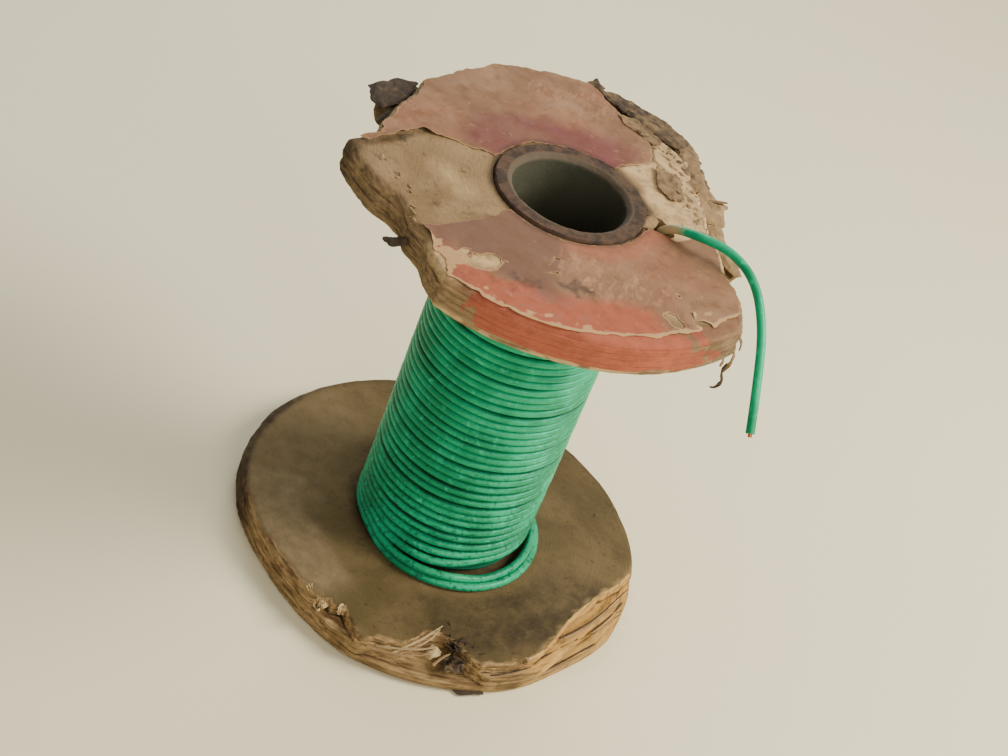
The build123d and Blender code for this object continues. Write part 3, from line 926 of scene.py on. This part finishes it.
for k in range(LEFT_CHIPS):
    share, off = chip_random.uniform(0, 1), chip_random.normal(0, 1.0)
    place = np.array([np.interp(share, np.linspace(0, 1, len(CHIP_LINE)), CHIP_LINE[:, c]) for c in range(2)])
    place = place * (1 + off / np.linalg.norm(place))
    long, broad_share = chip_random.uniform(1.2, 3.4), chip_random.uniform(0.25, 0.5)
    turn_deg = math.degrees(math.atan2(place[1], place[0])) + 90 + chip_random.normal(0, 30)
    chip(upper_heap, upper_surface, *place, 174, 0.25, long, long * broad_share, turn_deg, 1200 + k,
         chip_random.uniform(0.5, 0.76), curl=0.4)
for x, y, long, turn_deg, seed, tone in (
        (56.5, -44.5, 4.2, -60, 1342, 0.7), (63.5, -37.0, 3.4, -50, 1334, 0.66),
        (53, -50, 2.6, -20, 1326, 0.6)):
    chip(upper_heap, upper_surface, x, y, 174, 0.1, long, 0.4 * long, turn_deg, seed, tone, curl=0.5)

board_lower = lower_heap.make("board_lower", lower_finish)
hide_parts("flange_lower")
board_upper = upper_heap.make("board_upper", upper_finish)
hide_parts("flange_upper")


# winding

TURN_RADIUS = 1.66
TURN_STEPS = 96  # rings in each turn
TURN_SIDES = 12
TURNS = 40.66
LOOSE_FROM = 38.44  # where the last turn but one begins, which takes SECOND_SHARE of the slip
SECOND_SHARE = 0.62
TIGHT_FROM, TIGHT_GAP = 36, 0.03  # the lowest turns lie close together
WINDING_START_DEG = 9.5
INNER_STEPS = 90
INNER_RINGS_A_TURN = 4
WIRE_EXIT = (0.036, 0.003, 0.178)  # metres, where dust lies on the wire
WIDE_GAPS = ((2, 0.5), (5, 0.9), (9, 1.3), (13, 0.6), (17, 1.1), (22, 0.7), (25, 1.4), (28, 1.0), (30, 1.6),
             (33, 1.2), (35, 0.8))  # turn counted from the top, and how much wider the gap below it is
FOOT_BULGE = ((-180, 0.2), (-150, 0.0), (-140, 0.1), (-130, 1.1), (-119, 2.8), (-108, 4.8), (-96, 6.1),
              (-79, 7.3), (-57, 8.3), (-42, 7.9), (-28, 7.5), (-11, 6.4), (3, 5.8), (17, 5.4), (60, 3.5),
              (110, 1.2), (150, 0.3), (180, 0.2))  # azimuth in degrees and how far out the last turn lies


def loose_bulge(angle):
    """How far the last turn has slipped outwards at an azimuth in radians."""
    even = np.arange(-180, 181, 3.0)
    table = np.interp(even, *zip(*FOOT_BULGE))
    soft = np.mean([np.roll(table[:-1], step) for step in range(-3, 4)], 0)
    return np.interp(np.degrees(np.angle(np.exp(1j * angle))), even, np.append(soft, soft[0]))


def loose_share(turn, angle):
    """Share of that slip which a turn takes, dying away upwards at the left and sudden at the right."""
    sudden = SECOND_SHARE * ((turn > LOOSE_FROM) & (turn <= LOOSE_FROM + 1)) + (turn > LOOSE_FROM + 1)
    gradual = np.interp(turn, [34.4, 36.4, 37.4, LOOSE_FROM, LOOSE_FROM + 1], [0, 0.1, 0.3, SECOND_SHARE, 1])
    left = band(angle, -175, -92, 44)
    return left * gradual + (1 - left) * sudden


def winding_path():
    """Centre line of the outer layer of wire, from the top down, its last turns slipped outwards."""
    count = int(TURNS) + 1
    gaps = np.random.default_rng(7).uniform(0.02, 0.16, count)
    for index, extra in WIDE_GAPS:
        gaps[index] += extra
    gaps[TIGHT_FROM:] = TIGHT_GAP
    travel = UPPER_UNDERSIDE - LOWER_TOP - 2 * TURN_RADIUS
    gaps *= (travel - 2 * TURN_RADIUS * TURNS) / gaps.sum()
    drops = np.concatenate([[0], np.cumsum(2 * TURN_RADIUS + gaps)])
    turn = np.arange(0, TURNS, 1.0 / TURN_STEPS)
    height = UPPER_UNDERSIDE - TURN_RADIUS - np.interp(turn, np.arange(count + 1), drops)
    angle = math.radians(WINDING_START_DEG) - 2 * math.pi * turn
    bulge, share = loose_bulge(angle), loose_share(turn, angle)
    beside = bulge * (loose_share(turn + 1, angle) - share)
    second, last = (turn > LOOSE_FROM) & (turn <= LOOSE_FROM + 1), turn > LOOSE_FROM + 1
    stacked = np.sqrt(np.maximum((2 * TURN_RADIUS) ** 2 - beside ** 2, 0)) * second
    fallen = rise(0.3, 2.5, bulge)
    height = height + fallen * (second | last) * (LOWER_TOP + TURN_RADIUS + stacked - height)
    height = height - fallen * 1.2 * rise(34, LOOSE_FROM, turn) * (turn <= LOOSE_FROM)
    return turn, TUBE_OUTER_RADIUS + 1.5 * WIRE_DIAMETER + bulge * share, height, angle


def outer_turns(heap):
    """The outer layer of wire as one long rod, with painted shade in the grooves between its turns, deeper
    where they lie apart.
    """
    turn, radius, height, angle = winding_path()
    wobble = np.stack([np.cos(angle) * 30, np.sin(angle) * 30, turn * 40], -1)
    radius = radius + 0.16 * cloud(wobble, 25, 301, 2)
    height = height + 0.16 * cloud(wobble, 30, 302, 2)
    height = np.clip(height, LOWER_TOP + TURN_RADIUS, UPPER_UNDERSIDE - TURN_RADIUS)
    cosine, sine = np.cos(full_turn(TURN_SIDES)), np.sin(full_turn(TURN_SIDES))
    points = polar(radius[:, None] + TURN_RADIUS * cosine, angle[:, None],
                   height[:, None] + TURN_RADIUS * sine)
    below, above = np.zeros(len(turn)), np.zeros(len(turn))
    below[:-TURN_STEPS] = height[:-TURN_STEPS] - height[TURN_STEPS:] - 2 * TURN_RADIUS
    above[TURN_STEPS:] = below[:-TURN_STEPS]
    patchy = np.clip(0.6 + 0.7 * cloud(wobble, 24, 303, 2), 0.1, 1)
    beside = np.where(sine < 0, below[:, None], above[:, None])
    # painted shade where the wire turns towards the turns above and below it
    groove = rise(0.55, 0.95, np.abs(sine)) * patchy[:, None] * (0.4 + 0.8 * rise(0.15, 0.6, beside))
    heap.add(points, rod_faces(len(turn), TURN_SIDES), groove=groove)


def inner_turns(heap):
    """The first layer of wire, seen only between the outer turns and coloured all over as painted shade of
    those grooves.
    """
    step = np.arange(int((UPPER_UNDERSIDE - LOWER_TOP) / WIRE_DIAMETER * INNER_RINGS_A_TURN) + 1)
    ridge = TUBE_OUTER_RADIUS + WIRE_DIAMETER - 0.8 * np.abs(np.cos(math.pi * step / INNER_RINGS_A_TURN))
    radius = np.array([TUBE_CLEAR_RADIUS, *ridge, TUBE_CLEAR_RADIUS])[:, None]
    height = np.array([LOWER_TOP, *(LOWER_TOP + step * WIRE_DIAMETER / INNER_RINGS_A_TURN), UPPER_UNDERSIDE])
    points = polar(radius, full_turn(INNER_STEPS), height[:, None])
    heap.add(points, ring_faces(len(radius), INNER_STEPS), groove=1.0)


def insulation_finish():
    """Green plastic insulation, grubbier at the foot of the winding, with painted shade in the grooves
    between turns, and dusty where it leaves the slot.
    """
    finish = Finish("green_insulation", roughness=0.36, specular=0.5)
    finish.shader.inputs["Specular Tint"].default_value = colour(150, 255, 224)
    ramp, times = finish.ramp, finish.times
    large, fine, dash = finish.noise(22, 3, 0.5), finish.noise(1.6, 4, 0.6), finish.noise(2.6, 2, 0.5)
    foot = ramp(finish.node("SeparateXYZ", "Z", {"Vector": finish.place}), 0.02, 0.11, 1.0, 0.15)
    from_exit = finish.node("VectorMath", "Value", {0: finish.place, 1: WIRE_EXIT}, operation="DISTANCE")
    dust = ramp(finish.plus(from_exit, finish.swing(fine, 0.006)), 0.0065, 0.0125, 1.0, 0.0)
    base = finish.coats(
        (20, 130, 82),
        ((28, 172, 118), ramp(large, 0.35, 0.65)),
        ((60, 202, 156), ramp(dash, 0.56, 0.74, 0.0, 0.5)),
        ((18, 60, 38), times(foot, ramp(fine, 0.52, 0.68, 0.0, 0.85))),
        ((8, 84, 52), ramp(large, 0.56, 0.72, 0.0, 0.5)),
        # painted shade in the grooves between turns and all over the inner layer
        ((12, 44, 28), times(finish.attribute("groove"), 0.75)),
        ((190, 158, 112), times(dust, ramp(dash, 0.35, 0.6, 0.75, 1.0))))
    return finish.use(base, ramp(fine, 0.3, 0.7, 0.34, 0.52), finish.bump(fine, 0.06, 0.6))


wire_finish = insulation_finish()
wire_heap = Heap()
outer_turns(wire_heap)
inner_turns(wire_heap)
wire_turns = wire_heap.make("wire_turns", wire_finish, 60)
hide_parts("wire_winding")


# loose wire end

WIRE_ROUTE = ((0.03363, 0.00563, 0.164), (0.03363, 0.00563, 0.172), (0.03853, 0.00063, 0.181),
              (0.04903, -0.00387, 0.1845), (0.06163, -0.00587, 0.185), (0.07313, -0.01287, 0.1815),
              (0.08113, -0.02487, 0.1725), (0.08613, -0.03887, 0.1605), (0.09063, -0.05137, 0.146))
CORE_SIDES = 24
CORE_RINGS = ((-0.8, 0.8), (0.9, 0.8), (1.2, 0.74), (1.3, 0.6))  # how far past the wire's end, and radius

curve = bpy.data.curves.new("wire_end_line", "CURVE")
curve.dimensions = "3D"
spline = curve.splines.new("NURBS")
spline.points.add(len(WIRE_ROUTE) - 1)
for point, place in zip(spline.points, WIRE_ROUTE):
    point.co = (*place, 1.0)
spline.order_u = 3
spline.use_endpoint_u = True
spline.resolution_u = 14
curve.bevel_depth = WIRE_DIAMETER / 2 * MM
curve.bevel_resolution = 5
curve.use_fill_caps = True
curve.materials.append(wire_finish)
loose_wire = add_object("loose_wire", curve)
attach(loose_wire, "root")
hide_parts("wire_end")


def core_tip():
    """Cut end of the copper core, standing a little out of the insulation."""
    before, end = (np.array(place) / MM for place in WIRE_ROUTE[-2:])
    ahead = unit(end - before)
    side = unit(np.cross(ahead, [1.0, 0, 0]))
    over = np.cross(ahead, side)
    angle = full_turn(CORE_SIDES)[:, None]
    rings = [end + ahead * reach + radius * (side * np.cos(angle) + over * np.sin(angle))
             for reach, radius in CORE_RINGS]
    heap = Heap()
    heap.add(np.concatenate(rings), [face[::-1] for face in rod_faces(len(rings), CORE_SIDES)])
    return heap


copper = Finish("copper", roughness=0.35)
copper.shader.inputs["Metallic"].default_value = 1.0
tarnish = copper.noise(0.5, 4, 0.6)
copper.use(copper.mix((214, 132, 84), (150, 88, 58), tarnish), None, copper.bump(tarnish, 0.03, 0.5))
wire_core = core_tip().make("wire_core", copper.material, 40)


# tube

TUBE_STEPS = 288
TUBE_SEAM_PITCH = 46.0
TUBE_WALL_HEIGHTS = (TUBE_FOOT, 60.0, 120.0, 176.0, 178.0, 178.6)
TUBE_MOUTH_RADII = (28.6, 27.8, 26.8, 25.8, 24.8, 24.0)
LIP_SHARES = (0.75, 0.5, 0.25, 0.0)
BORE_HEIGHTS = np.linspace(TUBE_TOP - TUBE_LIP - 1.5, TUBE_FOOT + 2, 70)


def tube_piece():
    """Fibre tube with a worn upper mouth and the spiral seams of its wound layers."""
    angle = full_turn(TUBE_STEPS)
    profile = [(TUBE_OUTER_RADIUS, h) for h in TUBE_WALL_HEIGHTS] + [(r, TUBE_TOP) for r in TUBE_MOUTH_RADII]
    profile += [(TUBE_BORE_RADIUS + TUBE_LIP * s, TUBE_TOP - TUBE_LIP * (1 - s)) for s in LIP_SHARES]
    profile += [(TUBE_BORE_RADIUS, h) for h in BORE_HEIGHTS]
    profile += [(TUBE_BORE_RADIUS, TUBE_FOOT), (25.5, TUBE_FOOT)]
    radius, height = (np.array([p[c] for p in profile])[:, None] + 0 * angle for c in range(2))
    spots = polar(radius, angle, height)
    top = rise(172, 178, height)
    radius = radius + 0.25 * top * cloud(spots, 5, 401, 3)
    height = height + 0.3 * top * cloud(spots, 6, 402, 3) - 0.15 * top
    inner = rise(23, 22.2, radius)
    seam = (height / TUBE_SEAM_PITCH + angle / (2 * math.pi)) % 1.0
    radius = radius + inner * 0.35 * rise(0.035, 0.0, np.minimum(seam, 1 - seam))
    lip = rise(176.2, 177.2, height) * rise(25.2, 23.8, radius)
    heap = Heap()
    heap.add(polar(radius, angle, height), ring_faces(len(profile), TUBE_STEPS), lip=lip, inner=inner)
    return heap


def tube_finish():
    """Dull brown fibre, greyer down the bore and worn at the mouth."""
    finish = Finish("tube_fibre", specular=0.2)
    medium, fine = finish.noise(6, 5, 0.6), finish.noise(1.2, 4, 0.65)
    worn = finish.plus(finish.attribute("lip"), finish.swing(medium, 1.0))
    base = finish.coats(
        (86, 66, 50),
        ((60, 48, 38), finish.ramp(medium, 0.4, 0.6)),
        ((70, 69, 54), finish.attribute("inner")),
        ((94, 82, 66), finish.ramp(worn, 0.5, 0.95, 0.0, 0.8)))
    return finish.use(base, finish.ramp(fine, 0.3, 0.7, 0.7, 0.95), finish.bump(fine, 0.3, 0.7))


fibre_tube = tube_piece().make("fibre_tube", tube_finish(), 60)
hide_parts("core_tube")


# paper

PAPER_BACK = (
    (193.5, -30), (193.5, 8), (190.5, 13.5), (184, 19), (178, 25), (176, 36), (171, 50), (175, 64), (66, 64),
    (68, 50), (60, 36), (69, 25), (74, 19), (85, 16), (95, 0), (97, -40), (130, -40),
)  # azimuth in degrees and how far inside the sound rim
PAPER_FRONT = (
    (-134, -40), (-129, 11), (-127, 20), (-126, 33), (-124, 47), (-135, 65), (-14, 65), (-2, 55), (1, 49),
    (-4, 42), (6, 35), (6, 27), (-6, 23), (-14, 16), (-21, 0), (-21, -40), (-60, -50), (-100, -50),
)
PAPER_MARGIN = ((90, 1.6), (170, 1.6), (225, 3.4), (260, 1.6), (275, 0.9), (286, 2.0), (297, 5.5), (318, 6.0),
                (330, 5.5))  # azimuth in degrees and how much of the rim is bare
PAPER_HOLES = (
    (-19.5, -61.5, 6.0, 4.0, 35), (-33.5, -71.5, 7.5, 3.2, -55), (-16, -57, 2.2, 1.6, 0),
    (5, -52, 2.6, 0.7, 35), (50, -51, 4.5, 2.6, -30), (60, -47, 3.5, 2.2, 10), (-26, -60, 2.5, 1.4, 60),
    (4, -43, 1.6, 0.6, 0), (30, 55, 2.5, 1.2, 20),
)  # ovals: middle, half lengths and turn in degrees
PAPER_LIFTS = ((-66, -7, 12, 1.5), (-74, -15, 10, 1.3), (-57, 5, 11, 1.1), (-40, 14, 10, 0.6),
               (-43, -58, 14, 0.7), (66, -34, 12, 0.6))  # place, reach and height
PAPER_THICKNESS = 0.28
PAPER_RINGS = np.concatenate([np.arange(30.2, 70, 0.95), np.arange(70, 83, 0.7)])[:, None]


def paper_piece(name, outline, seed, material):
    """One torn remnant of the paper, lying on the worn face with its edges a little lifted."""
    spots = polar(PAPER_RINGS, azimuth, DRUM_HEIGHT)
    x, y, radius = spots[..., 0], spots[..., 1], PAPER_RINGS + 0 * azimuth
    corners = np.array([place_at(azimuth_deg, FLANGE_RADIUS - inside) for azimuth_deg, inside in outline])
    rim_wave = 1.3 * cloud(spots * [1, 1, 0], 9, seed + 1, 3) * (0.3 + 0.7 * band(azimuth, -125, -30))
    field = highest(
        signed_distance(spots[..., :2], corners),
        radius - FLANGE_RADIUS + ramp_of(*PAPER_MARGIN) + rim_wave,
        TUBE_OUTER_RADIUS + 1.2 - radius + 0.5 * cloud(spots, 4, seed + 2, 2),
        radius - (upper_rims[0] - 1.4 * upper_torn[0]),
        slot_edge() + 0.8 - radius)
    field = field + 0.75 * cloud(spots, 7, seed + 3, 2) + 0.5 * cloud(spots, 2.2, seed + 4, 2)
    frayed = 0.9 * cloud(spots, 2.5, seed + 5, 2)
    field = highest(field, *(2.5 * oval(x, y, *hole) + frayed for hole in PAPER_HOLES),
                    2.4 * (cloud(spots, 3.4, seed + 6, 2) - 1.12))
    faces, places, depth = cut_out(field, spots)
    x, y, inside = places[:, 0], places[:, 1], np.clip(-depth, 0, None)
    curl = np.clip(cloud(places, 8, seed + 7, 2) + 0.1, 0, None) * np.exp(-inside / 1.6) * 0.6
    for x_lift, y_lift, reach, lift in PAPER_LIFTS:
        curl = curl + lift * rise(reach, 0, np.hypot(x - x_lift, y - y_lift)) * np.exp(-inside / 3.0)
    top = DRUM_HEIGHT + face_relief(x, y, DRUM_HEIGHT) + 0.14 + curl
    upper = np.stack([x, y, top + PAPER_THICKNESS * (1 - 0.5 * np.exp(-inside / 0.5))], -1)
    heap, values = Heap(), paper_marks(x, y) | {"inside": np.minimum(inside, 6)}
    heap.add(np.concatenate([upper, np.stack([x, y, top], -1)]), sheet_shell(faces, len(x)),
             **{key: np.tile(value, 2) for key, value in values.items()})
    return heap.make(name, material, 60)


def paper_marks(x, y):
    """How red, mauve, grubby and pale-edged the paper is from place to place, with painted shade round the
    tube.
    """
    spots = np.stack([x, y, 0 * x], -1)
    radius, angle = np.hypot(x, y), np.arctan2(y, x)
    drift = cloud(spots, 16, 511, 3)
    nearest = 57 + 10 * band(angle, -150, -100, 14)
    red = highest(
        rise(nearest, nearest + 8, radius + 5 * drift) * band(angle, -118, -55, 8),
        0.5 * rise(43, 35, radius + 3 * drift) * band(angle, -80, -5, 16),
        0.05 + 0.3 * drift)
    mauve = rise(54, 42, radius + 7 * drift) * band(angle, 70, 164, 12) * (0.85 + 0.4 * drift)
    brown = np.maximum(rise(72, 62, radius + 5 * drift), band(angle, -150, -122, 9))
    scuff = np.maximum(
        rise(0.0, 0.5, oval(x, y, 22, -46, 36, 15, 18) + 0.4 * drift),
        0.8 * rise(0.0, 0.6, oval(x, y, -5, 66, 46, 13, 8) + 0.5 * drift))
    grubby = np.maximum(oval(x, y, -4, -66, 13, 6, 30), oval(x, y, 14, -56, 13, 6, 10))
    # grubby patches, with painted shade where the paper meets the tube
    grime = np.maximum(rise(0.2, 0.9, grubby + 0.8 * cloud(spots, 3.5, 519, 3)),
                       0.8 * rise(33.5, 30.5, radius + drift))
    pale = highest(
        (0.1 + 0.5 * cloud(spots, 13, 517, 2)) * rise(34, 38, radius) * (1 - band(angle, 80, 165)),
        band(angle, -118, -30, 8) * rise(75, 77, radius) * (1.3 + cloud(spots, 5, 523, 2)),
        rise(13, 6, np.hypot(x + 34, y + 69)) * (2.2 + 2.4 * cloud(spots, 3, 521, 3)),
        rise(9, 4, np.hypot(x - 60, y + 38)) * 1.3)
    return {"red": red, "mauve": np.clip(mauve, 0, 1), "grime": grime, "scuff": scuff,
            "brown": brown * band(angle, -140, -88, 14), "pale": np.clip(pale, 0, 3.4)}


def paper_finish():
    """Printed red paper, faded to brown, scuffed through to its pale fibres and with painted shade by the
    tube.
    """
    finish = Finish("worn_red_paper", specular=0.2)
    ramp, times, attribute = finish.ramp, finish.times, finish.attribute
    large, medium = finish.noise(24, 5, 0.6, 0.4), finish.noise(6, 6, 0.65, 0.3)
    fine, speck = finish.noise(1.4, 5, 0.7), finish.noise(2.4, 3, 0.5)
    drawn_out = finish.node("Mapping", "Vector", {"Vector": finish.place, "Scale": (1.7, 0.6, 1.0)})
    smear = finish.noise(3.4, 4, 0.6, 0.4, drawn_out)
    past_edge = finish.work_out("SUBTRACT", finish.plus(attribute("inside"), times(fine, 0.7)),
                                finish.plus(attribute("pale"), 0.15))
    base = finish.coats(
        (126, 92, 64),
        ((146, 111, 80), ramp(large, 0.35, 0.65)),
        ((162, 86, 60), times(attribute("red"), ramp(medium, 0.25, 0.5, 0.6, 1.0))),
        ((112, 58, 56), times(attribute("mauve"), 0.9)),
        ((104, 74, 54), ramp(medium, 0.5, 0.74, 0.0, 0.6)),
        ((180, 142, 104), ramp(speck, 0.62, 0.76, 0.0, 0.35)),
        ((112, 79, 60), times(attribute("brown"), 0.9)),
        ((194, 144, 112), times(attribute("scuff"), ramp(smear, 0.46, 0.7, 0.0, 0.42))),
        # grime, and painted shade by the tube
        ((62, 46, 36), times(attribute("grime"), ramp(medium, 0.4, 0.66, 0.75, 0.2))),
        ((188, 150, 102), times(ramp(past_edge, -0.1, 0.7, 1.0, 0.0), 0.85)),
        ((64, 48, 36), ramp(fine, 0.62, 0.8, 0.0, 0.4)))
    relief = finish.plus(medium, times(fine, 0.5))
    return finish.use(base, ramp(medium, 0.3, 0.7, 0.6, 0.85), finish.bump(relief, 0.25, 0.8))


red_paper = paper_finish()
paper_behind = paper_piece("paper_behind", PAPER_BACK, 520, red_paper)
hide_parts("paper_back")
paper_before = paper_piece("paper_before", PAPER_FRONT, 560, red_paper)
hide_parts("paper_front")
